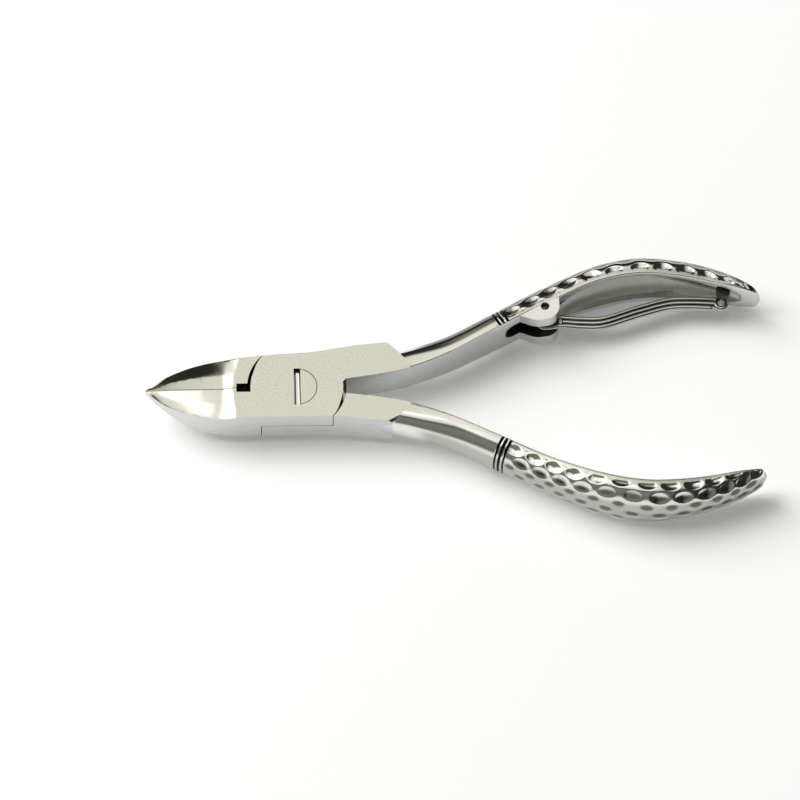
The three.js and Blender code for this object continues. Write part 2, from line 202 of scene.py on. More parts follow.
def mixed(tree, factor, a, b, blend_type="MIX"):
    """One colour laid over another."""
    return shader_node(tree, "Mix", {"Factor": factor, "A": a, "B": b}, data_type="RGBA",
                       blend_type=blend_type).outputs["Result"]


behind = mixed(tree, soft_step(toward["X"], left_from, left_full), by_height(room_behind),
               by_height(room_behind_left))
lit = mixed(tree, soft_step(toward["Y"], behind_from, behind_full), by_height(room_in_front),
            behind)
lit = mixed(tree, soft_step(toward["X"], right_from, right_full), lit, room_on_the_right)
for direction, begins, full, strength in windows:
    near = shader_node(tree, "VectorMath", {0: looking, 1: Vector(direction).normalized()},
                       operation="DOT_PRODUCT").outputs["Value"]
    lit = mixed(tree, 1, lit, soft_step(near, begins, full, strength), "ADD")
feed(tree, tree.nodes["Background"], {"Color": lit})


# ---- Handles --------------------------------------------------------------------------------
# Each handle is forged in one with its lever: a D-shaped bar, flat inside, that bows outwards and
# thins to a blunt tip. Three fine grooves are turned round it, then its outer side is hammered in
# staggered rows, and a channel is milled along its inner side. It is mirror polished.

def along(stations):
    """Smooth values through stations (x, a, b, ...), as a function of x."""
    xs = [station[0] for station in stations]
    last = len(xs) - 1

    def values(x):
        i = 1
        while i < last and x > xs[i]:
            i += 1
        before = i - 2 if i > 1 else i
        after = i + 1 if i < last else i - 1
        half = (xs[i] - xs[i - 1]) / 2
        pull_before = half / (xs[i - 1] - xs[before])
        pull_after = half / (xs[after] - xs[i])
        p = (x - xs[i - 1]) / (xs[i] - xs[i - 1])
        p2, p3 = p * p, p * p * p
        weights = (
            (before, -pull_before * p3 + 2 * pull_before * p2 - pull_before * p),
            (i - 1, (1 + pull_before) * p3 + (-1.5 - 2 * pull_before) * p2
             + (-0.5 + pull_before) * p + 1),
            (i, (-1 - pull_after) * p3 + (1.5 + pull_after) * p2 + 0.5 * p),
            (after, pull_after * p3 - pull_after * p2),
        )
        return [sum(w * stations[k][n] for k, w in weights) for n in range(1, len(stations[0]))]

    return values


def spaced(first, last, count):
    """Evenly spaced values from first to last."""
    return [first + (last - first) * i / count for i in range(count + 1)]


def smooth_step(value, low, high):
    """0 up to low, 1 from high on, and smooth between them."""
    t = min(1, max(0, (value - low) / (high - low)))
    return t * t * (3 - 2 * t)


joint_thickness = 7.6
mid_z = joint_thickness / 2
handle_end_x = 86.5
crotch_x = 9.2
handle_spread = 21.6
handle_depth = 5.0
handle_height = 11.4
neck_band = 1.8
rise = handle_height - joint_thickness
handle_stations = [
    # share of the run, of the spread, of the depth, height, flat band beside the rim
    (0, 0.07, 0.8, joint_thickness, neck_band),
    (0.1, 0.125, 1.0, joint_thickness, neck_band),
    (0.153, 0.17, 1.02, joint_thickness, neck_band),
    (0.243, 0.292, 0.98, joint_thickness + 0.13 * rise, 0.8),
    (0.347, 0.487, 0.97, joint_thickness + 0.4 * rise, 0.8),
    (0.476, 0.731, 0.97, joint_thickness + 0.55 * rise, 1.05),
    (0.605, 0.926, 0.97, handle_height, 1.25),
    (0.709, 1, 0.96, handle_height * 0.985, 1.25),
    (0.799, 0.986, 0.93, handle_height * 0.88, 1.2),
    (0.864, 0.949, 0.88, handle_height * 0.78, 1.0),
    (0.942, 0.889, 0.66, handle_height * 0.67, 0.6),
    (0.983, 0.859, 0.4, handle_height * 0.52, 0.25),
    (1, 0.847, 0.2, handle_height * 0.36, 0.1),
]
handle_profile = along([
    (crotch_x + share * (handle_end_x - crotch_x), rim * handle_spread, depth * handle_depth,
     height, band)
    for share, rim, depth, height, band in handle_stations
])


def rim_y(x):
    return handle_profile(x)[0]


# Distance along the handle, measured on its inner rim from the first groove's station.
length_from_x = 36.0
length_step = 0.1
lengths = [0.0]
for k in range(int((handle_end_x - length_from_x) / length_step)):
    x = length_from_x + k * length_step
    lengths.append(lengths[-1] + math.hypot(length_step, rim_y(x + length_step) - rim_y(x)))


def length_at(x):
    """Distance along the handle to station x, also before the first groove."""
    k = (x - length_from_x) / length_step
    if k < 0:
        return k * (lengths[1] - lengths[0])
    low = min(int(k), len(lengths) - 2)
    return lengths[low] + (k - low) * (lengths[low + 1] - lengths[low])


channel_start_x = 48.2
channel_end_x = 83.0
outer_fullness = 0.87
polishing_loss = 0.05
rim_wall = 1.2
channel_wall = 1.5
rim_rounding = 0.22
tip_rounding = 1.0
# Sections stand square to the tool before the first pair of stations and after the second, and
# square to the rim between them.
lean_begins, lean_ends = (20, 30), (76, 84)

# Once round the section: the outer half ellipse from top to bottom, the lower flat band, the
# lower rim, the channel, the upper rim and the upper flat band.
outer_steps, channel_steps = 84, 20
section_places = (
    [("outer", angle) for angle in spaced(90, -90, outer_steps)]
    + [("band", -1, share) for share in (0.7, 0.35, 0)]
    + [("corner", -1, angle) for angle in (30, 60, 90)]
    + [("land", -1, 0.5)]
    + [("channel", angle) for angle in spaced(-90, 90, channel_steps)]
    + [("land", 1, 0.5)]
    + [("corner", 1, angle) for angle in (90, 60, 30)]
    + [("band", 1, share) for share in (0, 0.35, 0.7)]
)


def channel_size(x, depth, height):
    """Half-height and depth of the milled channel at x."""
    middle = (channel_start_x + channel_end_x) / 2
    reach = (channel_end_x - channel_start_x) / 2
    fade = math.sqrt(max(0, 1 - (abs(x - middle) / reach) ** 8))
    half_height = (height / 2 - rim_wall) * (0.35 + 0.65 * fade)
    return half_height, max(0, depth - channel_wall) * fade


def section_point(x, place):
    """(distance behind the rim, height) of one place on the handle's section at x."""
    _, depth, height, band = handle_profile(x)
    half = height / 2 - 0.005
    round_edge = min(rim_rounding, band * 0.5)
    if place[0] == "outer":
        angle = math.radians(place[1])
        out, rise_share = abs(math.cos(angle)), math.sin(angle)
        return (band + (depth - polishing_loss - band) * out ** outer_fullness,
                mid_z + half * math.copysign(abs(rise_share) ** outer_fullness, rise_share))
    if place[0] == "band":
        return round_edge + (band - round_edge) * place[2], mid_z + place[1] * half
    if place[0] == "corner":
        angle = math.radians(place[2])
        return (round_edge * (1 - math.sin(angle)),
                mid_z + place[1] * (half - round_edge * (1 - math.cos(angle))))
    channel_half, floor = channel_size(x, depth, height)
    if place[0] == "land":
        top = half - round_edge
        return 0, mid_z + place[1] * (channel_half + (top - channel_half) * place[2])
    angle = math.radians(place[1])
    swing = math.sin(angle)
    return (floor * abs(math.cos(angle)) ** 0.6,
            mid_z + channel_half * math.copysign(abs(swing) ** 0.8, swing))


# Hammered dimples: where they stand along the handle, for the rows on both sides of the outermost
# line, and how far apart the rows are. Every other row stands halfway between.
dimple_lengths = [
    1.4, 5.46, 9.53, 13.41, 17.37, 21.65, 26.0, 30.65, 34.75, 38.98, 42.94, 46.83, 50.2, 53.4,
]
between_lengths = [(a + b) / 2 for a, b in zip(dimple_lengths, dimple_lengths[1:])]
first_dimple = 5.2
dimple_half_length = 1.72
dimple_half_width = 1.22
dimple_depth = 0.40
groove_lengths = (2.35, 3.2, 4.05)
groove_half_width = 0.27
groove_depth = 0.32


# The first row's height round the section and the rows' pitch: the plain value, what is added to it
# at most, where along the handle that is, and over what length it fades.
row_start = (1.6, 1.0, 25, 7)
row_pitch = (2.15, 0.6, 31, 9)


def swelled(length, plain, added, middle, reach):
    return plain + added * math.exp(-(((length - middle) / reach) ** 2))


def row_height(row, length):
    """Height of a row of dimples round the section, from the outermost line."""
    return swelled(length, *row_start) + row * swelled(length, *row_pitch)


def dimple_at(length, height):
    """How deep the hammered surface lies at a place on the handle."""
    deepest = 0.0
    for row in range(-4, 4):
        away = (height - row_height(row, length)) / dimple_half_width
        if abs(away) >= 1:
            continue
        for place in dimple_lengths if row % 2 == 0 else between_lengths:
            off = (length - place) / dimple_half_length
            if place > first_dimple and abs(off) < 1:
                deepest = max(deepest, 1 - away * away - off * off)
    return dimple_depth * deepest


def groove_at(length):
    """How deep the three turned grooves lie at a place on the handle."""
    depth = 0.0
    for place in groove_lengths:
        off = (length - place) / groove_half_width
        if abs(off) < 1:
            depth = max(depth, 1 - off * off)
    return groove_depth * depth


def quarter_length(across, upright):
    """Lengths along a quarter of the round, at each tenth of its angle from the outermost point."""
    total, sums = 0.0, [0.0]
    here = (across, 0)
    for k in range(1, 11):
        angle = math.radians(9 * k)
        there = (across * abs(math.cos(angle)) ** outer_fullness,
                 upright * math.sin(angle) ** outer_fullness)
        total += math.dist(here, there)
        here = there
        sums.append(total)
    return sums


def worked_in(x, foot, place):
    """How far the grooves and dimples lie under the forged surface."""
    if place[0] not in ("outer", "band"):
        return 0
    length = length_at(foot)
    if place[0] == "band":
        return groove_at(length) * place[2]
    _, depth, height, band = handle_profile(x)
    sums = quarter_length(depth - band, height / 2)
    tenth = abs(place[1]) / 9
    low = min(int(tenth), 9)
    around = math.copysign(sums[low] + (tenth - low) * (sums[low + 1] - sums[low]), place[1])
    ending = 1 - smooth_step(foot, handle_end_x - 1.6, handle_end_x - 0.4)
    return max(dimple_at(length, around) * ending, groove_at(length))


def from_grid(rows, columns, place):
    """A sheet of faces, with each corner put where place(share along, share across) says."""
    shape = bmesh.new()
    bmesh.ops.create_grid(shape, x_segments=rows, y_segments=columns, size=1)
    for vert in shape.verts:
        vert.co = place((vert.co.x + 1) / 2, (vert.co.y + 1) / 2)
    return shape


def sewn(shape):
    """Joins a rolled-up sheet along its seam and closes its ends."""
    bmesh.ops.remove_doubles(shape, verts=shape.verts, dist=1e-4)
    bmesh.ops.holes_fill(shape, edges=[e for e in shape.edges if e.is_boundary])
    bmesh.ops.recalc_face_normals(shape, faces=shape.faces)
    return shape


def handle_bar(side):
    """A whole handle in millimetres, from inside the shoulder to its blunt tip."""
    feet = (
        spaced(14.5, 36.5, 50) + spaced(36.6, 41.0, 44) + spaced(41.2, 80.0, 194)
        + spaced(80.15, handle_end_x - 1.2, 34)
        + [handle_end_x - 1.0 + math.sin(math.radians(a)) * tip_rounding
           for a in range(0, 91, 9)]
    )
    rows, columns = len(feet) - 1, len(section_places)

    def corner(along_share, round_share):
        foot = feet[round(along_share * rows)]
        place = section_places[round(round_share * columns) % columns]
        slope = rim_y(min(foot + 0.1, handle_end_x)) - rim_y(foot - 0.1)
        slope /= min(foot + 0.1, handle_end_x) - foot + 0.1
        lean = slope / (1 + slope * slope)
        lean *= smooth_step(foot, *lean_begins) * (1 - smooth_step(foot, *lean_ends))
        behind, z = section_point(foot, place)
        x = foot - lean * behind
        behind, z = section_point(x, place)
        sink = worked_in(x, foot, place)
        if sink:
            _, depth, height, band = handle_profile(x)
            angle = math.radians(place[1]) if place[0] == "outer" else math.pi / 2 * place[1]
            across = abs(math.cos(angle)) ** (2 - outer_fullness) / (depth - band)
            upright = abs(math.sin(angle)) ** (2 - outer_fullness) / (height / 2)
            outward = Vector((-slope * across, across, math.copysign(upright, angle)))
            outward.normalize()
            x -= outward.x * sink
            behind -= outward.y * sink
            z -= outward.z * sink
        past = (foot - handle_end_x + tip_rounding) / tip_rounding
        if past > 0:
            shrink = math.sqrt(max(0, 1 - past * past))
            middle = handle_profile(foot)[1] / 2
            behind = middle + (behind - middle) * shrink
            z = mid_z + (z - mid_z) * shrink
        return x, side * (rim_y(min(x, handle_end_x)) + behind), z

    return sewn(from_grid(rows, columns, corner))


# ---- Lap joint and jaws ---------------------------------------------------------------------
# The head of each lever: a flat block, halved in thickness round the pivot so that the two cross,
# with a pointed jaw in front. Faces are ground flat and satin, the jaws' sloping tops are polished.

lap_gap = 0.1
lap_radius = 8.6
lap_end_gap = 0.6
joint_half_width = 6.25
shoulder_x = 17.5
joint_swell = {
    # by how much the joint widens, at shares of its run to the shoulder
    -1: [(0, 0), (0.377, -0.05), (0.63, 0.1), (1, 1.2)],
    1: [(0, 0), (0.153, 0.45), (0.498, 1.05), (0.762, 2.2), (1, 2.8)],
}
shoulder_chamfer = 3.6
crotch_ease = 0.07
jaw_tip_x = -28.1
jaw_root_x = -10.6
jaw_run = jaw_root_x - jaw_tip_x
jaw_run_out = 0.4
cutting_gap = 0.1
cutting_z = joint_thickness - 0.4
flank_z = joint_thickness - 1.3
tip_thickness = 1.4
relief_depth = 0.6
notch_length = 2.6
notch_half_width = 0.87
jaw_crown = {-1: 0.3, 1: 0.72}
jaw_flank_lift = {-1: 0.25, 1: 0}
lap_end_seam = 0.12
edge_break = 0.2
below_all, above_all = -3, joint_thickness + 3

joint_edges = {
    side: along([(jaw_root_x + share * (shoulder_x - jaw_root_x), joint_half_width + swell)
                 for share, swell in stations])
    for side, stations in joint_swell.items()
}


def joint_edge(x, side):
    """Half-width of the flat joint on the plain lever's side (-1) or the sprung lever's (1)."""
    return joint_edges[side](x)[0]


jaw_stations = [
    # share of the run, of the half-width, heights of cutting edge, outer edge and underside
    (0, 0, cutting_z - 0.3, flank_z + 0.2, flank_z - tip_thickness + 0.6),
    (0.16, 0.38, cutting_z - 0.1, flank_z + 0.05, mid_z + 0.7),
    (0.37, 0.68, cutting_z, flank_z, 2.3),
    (0.58, 0.88, cutting_z, flank_z, 1.15),
    (0.82, 0.985, cutting_z, flank_z + 0.35, 0.55),
    (0.93, 0.998, joint_thickness, joint_thickness - 0.45, 0.25),
    (1 + jaw_run_out / jaw_run, 1, joint_thickness + 0.2, joint_thickness + 0.2, 0),
]
jaw_faces = along([(jaw_tip_x + share * jaw_run, joint_half_width * width, *heights)
                   for share, width, *heights in jaw_stations])


def lap_end(from_angle, to_angle, wide_at):
    """The round end of a layer. Its gap closes to a fine seam at the joint's outer side."""
    points = []
    for angle in spaced(from_angle, to_angle, 22):
        open_share = 1 - abs(angle - wide_at) / abs(to_angle - from_angle)
        gap = lap_end_seam + (lap_end_gap - lap_end_seam) * smooth_step(open_share, 0, 0.55)
        reach = lap_radius + lap_end_gap - gap
        points.append((reach * math.cos(angle), reach * math.sin(angle)))
    return points


def head_outline(layer):
    """Joint, jaw and shoulder seen from above, drawn with the jaw at -Y."""
    outer_radius = lap_radius + lap_end_gap - lap_end_seam
    angle_back = math.pi - math.asin(joint_edge(-6, layer) / outer_radius)
    angle_notch = math.pi + math.asin(notch_half_width / lap_radius)
    angle_front = -math.asin(joint_edge(6, -layer) / outer_radius)
    angle_crotch = math.asin(rim_y(crotch_x) / lap_radius) - crotch_ease
    front_x = outer_radius * math.cos(angle_front)
    back_x = outer_radius * math.cos(angle_back)
    points = [(jaw_tip_x, -cutting_gap / 2)]
    points += [(x, -max(jaw_faces(x)[0], 0.2)) for x in spaced(jaw_tip_x, jaw_root_x, 32)[1:]]
    points += [(x, -joint_edge(x, -layer)) for x in spaced(jaw_root_x, front_x, 14)[1:-1]]
    points += lap_end(angle_front, angle_crotch, angle_crotch)
    neck_end = shoulder_x + shoulder_chamfer
    points += [(x, rim_y(x)) for x in spaced(crotch_x, neck_end, 12)]
    points.append((neck_end, rim_y(neck_end) + neck_band))
    points += [(x, joint_edge(x, layer)) for x in spaced(shoulder_x, back_x, 22)[:-1]]
    points += lap_end(angle_back, angle_notch, angle_notch)
    points.append((-lap_radius - notch_length, -notch_half_width))
    points.append((-lap_radius - notch_length, -cutting_gap / 2))
    return points


def as_object(name, shape):
    """A mesh object from a bmesh, which is freed."""
    mesh = bpy.data.meshes.new(name)
    shape.to_mesh(mesh)
    shape.free()
    piece = bpy.data.objects.new(name, mesh)
    scene.collection.objects.link(piece)
    return piece


def raised(shape, height):
    """Draws a shape's faces up or down to a flat face at that height."""
    drawn = bmesh.ops.extrude_face_region(shape, geom=shape.faces[:])
    for vert in drawn["geom"]:
        if isinstance(vert, bmesh.types.BMVert):
            vert.co.z = height
    bmesh.ops.recalc_face_normals(shape, faces=shape.faces)
    return shape


def prism(outline, bottom, top):
    """A flat outline drawn up from bottom to top."""
    shape = bmesh.new()
    shape.faces.new([shape.verts.new((x, y, bottom)) for x, y in outline])
    return raised(shape, top)


def round_bar(radius, bottom, top, x=0, y=0, segments=96):
    """An upright round bar, centred on the pivot unless it is told otherwise."""
    shape = bmesh.new()
    bmesh.ops.create_cone(shape, cap_ends=True, segments=segments, radius1=radius,
                          radius2=radius, depth=top - bottom)
    bmesh.ops.translate(shape, vec=(x, y, (top + bottom) / 2), verts=shape.verts)
    return shape


def rounded(shape, edges, width, segments, clamp=False):
    """Bevels edges of a shape by a width that is the same along each."""
    bmesh.ops.bevel(shape, geom=edges, offset=width, offset_type="OFFSET", segments=segments,
                    profile=0.5, affect="EDGES", material=-1, clamp_overlap=clamp)


def clean(piece):
    """Merges slivers and closes any pinhole that a cut leaves."""
    shape = bmesh.new()
    shape.from_mesh(piece.data)
    bmesh.ops.remove_doubles(shape, verts=shape.verts, dist=1e-3)
    bmesh.ops.dissolve_degenerate(shape, dist=1e-4, edges=shape.edges)
    bmesh.ops.holes_fill(shape, edges=[e for e in shape.edges if e.is_boundary])
    shape.to_mesh(piece.data)
    shape.free()


def machine(piece, tool, operation="DIFFERENCE", solver="EXACT"):
    """Cuts the tool out of the piece, or forges the two together, for good."""
    step = piece.modifiers.new("step", "BOOLEAN")
    step.operation = operation
    step.solver = solver
    step.object = tool
    ready = piece.evaluated_get(bpy.context.evaluated_depsgraph_get())
    mesh = bpy.data.meshes.new_from_object(ready)
    piece.modifiers.clear()
    old, piece.data = piece.data, mesh
    bpy.data.meshes.remove(old)
    bpy.data.meshes.remove(tool.data)
    clean(piece)
    return piece


def jaw_top_cutter(side):
    """Everything above a jaw's polished top, which is crowned towards its outer edge."""
    def corner(along_share, across_share):
        x = jaw_tip_x - 0.5 + (jaw_run + jaw_run_out + 0.5) * along_share
        across = -1 + (joint_half_width + 2) * across_share
        half_width, edge_z, outer_z, _ = jaw_faces(max(x, jaw_tip_x))
        share = max(0, across / max(half_width, 1))
        outer = jaw_crown[side]
        crown = (1 - outer) * share + outer * max(0, (share - 0.45) / 0.55) ** 1.3
        return x, side * across, edge_z + (outer_z + jaw_flank_lift[side] - edge_z) * crown

    return as_object("jaw top cutter", raised(from_grid(60, 26, corner), above_all))


def jaw_under_cutter():
    """Everything below the jaws' rising underside."""
    def corner(along_share, across_share):
        x = jaw_tip_x - 0.5 + (jaw_run + jaw_run_out + 0.5) * along_share
        return x, 18 * across_share - 9, jaw_faces(max(x, jaw_tip_x))[3]

    return as_object("jaw under cutter", raised(from_grid(30, 1, corner), below_all))


def jaw_relief_cutter(side):
    """The hollow behind a cutting edge."""
    face = cutting_gap / 2

    def corner(along_share, round_share):
        x = jaw_tip_x + 2 + (jaw_run - 2 - jaw_run_out) * along_share
        half_width, edge_z, _, _ = jaw_faces(x)
        depth = min(relief_depth, half_width / 3)
        ring = ((-1, below_all), (face + depth, below_all), (face, edge_z - 1), (-1, edge_z - 1))
        y, z = ring[round(round_share * 4) % 4]
        return x, side * y, z

    return as_object("jaw relief cutter", sewn(from_grid(8, 4, corner)))


wheel_radius = 3.4
wheel_half_width = 4.5
wheel_out = 2.4
wheel_towards_neck = 1.5
wheel_beyond_face = 1.6


def shoulder_scoop(side):
    """The grinding wheel that leaves a hollow where the flat joint meets the neck."""
    start = Vector((shoulder_x, joint_edge(shoulder_x, side), 0))
    end_x = shoulder_x + shoulder_chamfer
    end = Vector((end_x, rim_y(end_x) + neck_band, 0))
    run = (end - start).normalized()
    out = Vector((-run.y, run.x, 0))
    wheels = []
    for z in (joint_thickness + wheel_beyond_face, -wheel_beyond_face):
        shape = round_bar(wheel_radius, -wheel_half_width, wheel_half_width, segments=64)
        turn_to = run.to_track_quat("Z", "Y").to_matrix().to_4x4()
        bmesh.ops.transform(shape, matrix=turn_to, verts=shape.verts)
        centre = (start + end) / 2 + out * wheel_out + run * wheel_towards_neck
        bmesh.ops.translate(shape, vec=(centre.x, centre.y, z), verts=shape.verts)
        if side < 0:
            bmesh.ops.scale(shape, vec=(1, -1, 1), verts=shape.verts)
            bmesh.ops.reverse_faces(shape, faces=shape.faces)
        wheels.append(as_object("shoulder wheel", shape))
    return wheels


screw_head_radius = 3.8
screw_shank_radius = 2.2
head_seat_z = joint_thickness - 2.0
bore_ease = 0.01


def break_edges(piece, width, least_angle=25, where=lambda edge: True):
    """Rounds off a machined piece's sharp edges."""
    shape = bmesh.new()
    shape.from_mesh(piece.data)
    bmesh.ops.remove_doubles(shape, verts=shape.verts, dist=2e-3)
    bmesh.ops.dissolve_limit(shape, angle_limit=math.radians(0.4), verts=shape.verts,
                             edges=shape.edges)
    sharp = [e for e in shape.edges if len(e.link_faces) == 2 and where(e)
             and e.calc_face_angle_signed() > math.radians(least_angle)]
    rounded(shape, sharp, width, 3, clamp=True)
    shape.to_mesh(piece.data)
    shape.free()


def head_block(layer):
    """The head of a lever. layer is 1 for the upper half of the joint, -1 for the lower."""
    outline = head_outline(layer)
    if layer < 0:
        outline = [(x, -y) for x, y in reversed(outline)]
    block = as_object("head", prism(outline, 0, joint_thickness))
    lap_face = mid_z + layer * lap_gap / 2
    clear = (below_all, lap_face) if layer > 0 else (lap_face, above_all)
    machine(block, as_object("other layer", round_bar(lap_radius + lap_end_gap, *clear)))
    machine(block, jaw_top_cutter(-layer))
    machine(block, jaw_under_cutter())
    machine(block, jaw_relief_cutter(-layer))
    for wheel in shoulder_scoop(layer):
        machine(block, wheel)
    break_edges(block, edge_break)
    bore = screw_shank_radius + bore_ease
    machine(block, as_object("shank bore", round_bar(bore, below_all, above_all)))
    if layer > 0:
        head_bore = round_bar(screw_head_radius + bore_ease, head_seat_z - 0.05, above_all)
        machine(block, as_object("head bore", head_bore))
    return block


# ---- Spring ears ----------------------------------------------------------------------------
# Two lugs on the sprung handle's inner side hold the spring's pin. They are forged with the
# handle, drilled together, and a slot is milled between them into the handle's channel.

ear_pin_x = 46.4
ear_pin_y = rim_y(ear_pin_x) - 0.6
ear_radius = 2.7
ear_gap = 4.1
ear_slot_depth = 1.9
ear_slot_runout = 1.0
slot_start_x = ear_pin_x - 7.4
slot_end_x = channel_start_x + 2
slot_round = 1.7
pin_radius = 0.75
running_gap = 0.05
ear_outline = [
    (39.6, 13.6), (40.6, 13.75), (41.65, 13.62), (42.6, 13.28), (43.5, 12.9), (44.4, 12.62),
    (45.3, 12.5),
]


def ears():
    """Both lugs, a little below the rim's flat band."""
    wave = list(ear_outline)
    wave += [(ear_pin_x + ear_radius * math.cos(a), ear_pin_y + ear_radius * math.sin(a))
             for a in spaced(math.radians(-90), math.radians(8), 12)]
    end_x = ear_pin_x + ear_radius
    wave += [(end_x - 0.1, rim_y(end_x) + 1.1), (44, rim_y(44) + 1.4), (39.6, rim_y(39.6) + 1.2)]
    lugs = []
    for side in (1, -1):
        inner = mid_z + side * ear_gap / 2
        shape = prism(wave, min(inner, inner + side), max(inner, inner + side))
        for vert in shape.verts:
            if abs(vert.co.z - inner) > 0.5:
                vert.co.z = mid_z + side * (handle_profile(vert.co.x)[2] / 2 - 0.1)
        lug = as_object("ear", shape)
        break_edges(lug, 0.22)
        lugs.append(lug)
    return lugs


def ear_slot_cutter():
    """The milling cutter's path: a slot that starts round and deepens towards the channel."""
    clear_y = ear_pin_y - 2 * ear_radius - 2

    def corner(along_share, round_share):
        run = along_share ** 1.6
        x = slot_start_x + run * (slot_end_x - slot_start_x)
        start = min(1, (x - slot_start_x) / slot_round)
        depth = ear_slot_depth * math.sqrt(start) + ear_slot_runout * run
        half = ear_gap / 2 * (0.25 + 0.75 * math.sqrt(max(0, 1 - (1 - start) ** 2)))
        floor_y = rim_y(x) + depth
        ring = ((clear_y, -half), (floor_y, -half), (floor_y, half), (clear_y, half))
        y, z = ring[round(round_share * 4) % 4]
        return x, y, mid_z + z

    return as_object("ear slot cutter", sewn(from_grid(40, 4, corner)))


# ---- Steel finishes -------------------------------------------------------------------------
# One stainless steel, finished by place: ground satin on the flats, a fine upright grain on the
# sides, mirror polish on the handles, softer on jaws and rim, and milled in channel and slot. Shade
# and light
# are painted in too: the channel lighter than steel, the slot's floor and the narrow gaps near
# black, and the upper handle's rim and the handles' outer sides darker.

def steel_grain():
    """Fine grinding grain and a slow cloudiness, as shared nodes."""
    group = bpy.data.node_groups.new("steel grain", "ShaderNodeTree")
    face = group.interface
    face.new_socket("Vector", in_out="INPUT", socket_type="NodeSocketVector")
    for name in ("Scale", "Smoothest", "Roughest"):
        face.new_socket(name, in_out="INPUT", socket_type="NodeSocketFloat")
    for name in ("Roughness", "Height", "Cloud"):
        face.new_socket(name, in_out="OUTPUT", socket_type="NodeSocketFloat")
    given = group.nodes.new("NodeGroupInput").outputs
    fine = shader_node(group, "TexNoise", {"Vector": given["Vector"], "Scale": given["Scale"],
                                           "Detail": 4, "Roughness": 0.6}).outputs["Fac"]
    slow = shader_node(group, "TexNoise", {"Vector": given["Vector"], "Scale": 180,
                                           "Detail": 3}).outputs["Fac"]
    both = shader_node(group, "Math", {0: fine, 1: slow}, operation="ADD").outputs[0]
    cloud = shader_node(group, "Math", {0: both, 1: 0.5}, operation="MULTIPLY").outputs[0]
    spread = shader_node(group, "MapRange", {
        "Value": cloud, "From Min": 0.3, "From Max": 0.7,
        "To Min": given["Smoothest"], "To Max": given["Roughest"]})
    feed(group, group.nodes.new("NodeGroupOutput"),
         {"Roughness": spread.outputs[0], "Height": fine, "Cloud": cloud})
    return group


grain = steel_grain()


def grained(name, light, dark, smoothest, roughest, scale=2500, stretch=(1, 1, 1), bump=0.02,
            metal=1, shade_paint=None):
    """A finish: two close colours in slow clouds, a grain, and its roughness."""
    material, tree, surface = new_material(name)
    where = shader_node(tree, "TexCoord").outputs["Object"]
    drawn = shader_node(tree, "Mapping", {"Vector": where, "Scale": stretch}).outputs[0]
    marks = tree.nodes.new("ShaderNodeGroup")
    marks.node_tree = grain
    feed(tree, marks, {"Vector": drawn, "Scale": scale, "Smoothest": smoothest,
                       "Roughest": roughest})
    colour = mixed(tree, marks.outputs["Cloud"], (*dark, 1), (*light, 1))
    # Painted shade: a dark colour laid over the finish as far as the vertex layer says.
    if shade_paint:
        painted_shade = shader_node(tree, "Attribute", attribute_name="painted_shade").outputs["Fac"]
        colour = mixed(tree, painted_shade, colour, (*shade_paint, 1))
    relief = shader_node(tree, "Bump", {"Strength": bump, "Distance": 0.0001,
                                        "Height": marks.outputs["Height"]})
    feed(tree, surface, {"Base Color": colour, "Metallic": metal,
                         "Roughness": marks.outputs["Roughness"], "Normal": relief.outputs[0]})
    return material


# Painted shade: the handles' outer sides are coloured darker than their tops, the upper handle's
# most, and the dimples' floors darkest.
painted_shade_colour = (0.13, 0.127, 0.11)
ground_flat = grained("ground flat", (0.94, 0.92, 0.79), (0.68, 0.665, 0.56), 0.26, 0.40, bump=0.4)
satin_side = grained("satin side", (0.72, 0.72, 0.72), (0.64, 0.64, 0.64), 0.24, 0.36,
                     stretch=(0.3, 0.3, 1.5), bump=0.08)
mirror_polish = grained("mirror polish", (0.80, 0.79, 0.75), (0.76, 0.75, 0.71), 0.10, 0.17,
                        shade_paint=painted_shade_colour)
jaw_polish = grained("jaw polish", (0.74, 0.725, 0.64), (0.68, 0.665, 0.58), 0.10, 0.18, bump=0.03)
# Polished rim with painted shade: softer polish, in a darker copy of the flat band's colour, laid
# only on the upper handle.
rim_polish_painted_shade = grained("polished rim painted shade", (0.66, 0.65, 0.58), (0.54, 0.53, 0.47), 0.16, 0.26, bump=0.05)
# Painted light: the milled channel is coloured lighter than steel, standing in for light it does
# not get.
channel_painted_light = grained("milled channel painted light", (0.93, 0.92, 0.89), (0.85, 0.84, 0.81), 0.52, 0.64,
                       stretch=(0.3, 1, 1), bump=0.1)
# Painted shade: the ear slot's floor, deep between the ears, is coloured near black; its grain and
# roughness are milled.
slot_painted_shade = grained("milled slot painted shade", (0.16, 0.155, 0.14), (0.09, 0.09, 0.08), 0.4, 0.55, bump=0.15)
# Painted shade: near black for the narrow gaps, grooves and seams where shade falls.
painted_gap_shade = grained("painted gap shade", (0.03, 0.03, 0.03), (0.015, 0.015, 0.015), 0.45, 0.6)


# ---- The two levers -------------------------------------------------------------------------
# Head, neck, handle and, on the sprung one, ears are a single forging. The upper lever carries
# the front jaw and the back handle, the lower lever the back jaw and the front handle.

def groove_foot(x, y):
    """The rim station whose section passes through a place on the handle."""
    foot = x
    for _ in range(3):
        slope = (rim_y(foot + 0.1) - rim_y(foot - 0.1)) / 0.2
        lean = slope / (1 + slope * slope) * smooth_step(foot, *lean_begins)
        foot = x + lean * (y - rim_y(x))
    return foot


def on_band(x):
    """How far from the centre line the flat band beside the rim reaches."""
    rim, _, _, band = handle_profile(min(x, handle_end_x))
    return rim + band * 1.06 + 0.02


# How much painted shade a handle's outer side gets, and the shares of its half-height between which
# it fades out.
side_painted_shade = {-1: (0.5, 0.42, 0.68), 1: (0.85, 0.86, 0.97)}
# How far under the forged surface a dimple's floor starts to get painted shade and gets it fully,
# and the shares of the half-height between which that fades out.
shaded_floor_depths = (0.1, 0.32)
shaded_floor_fade = (0.62, 0.86)


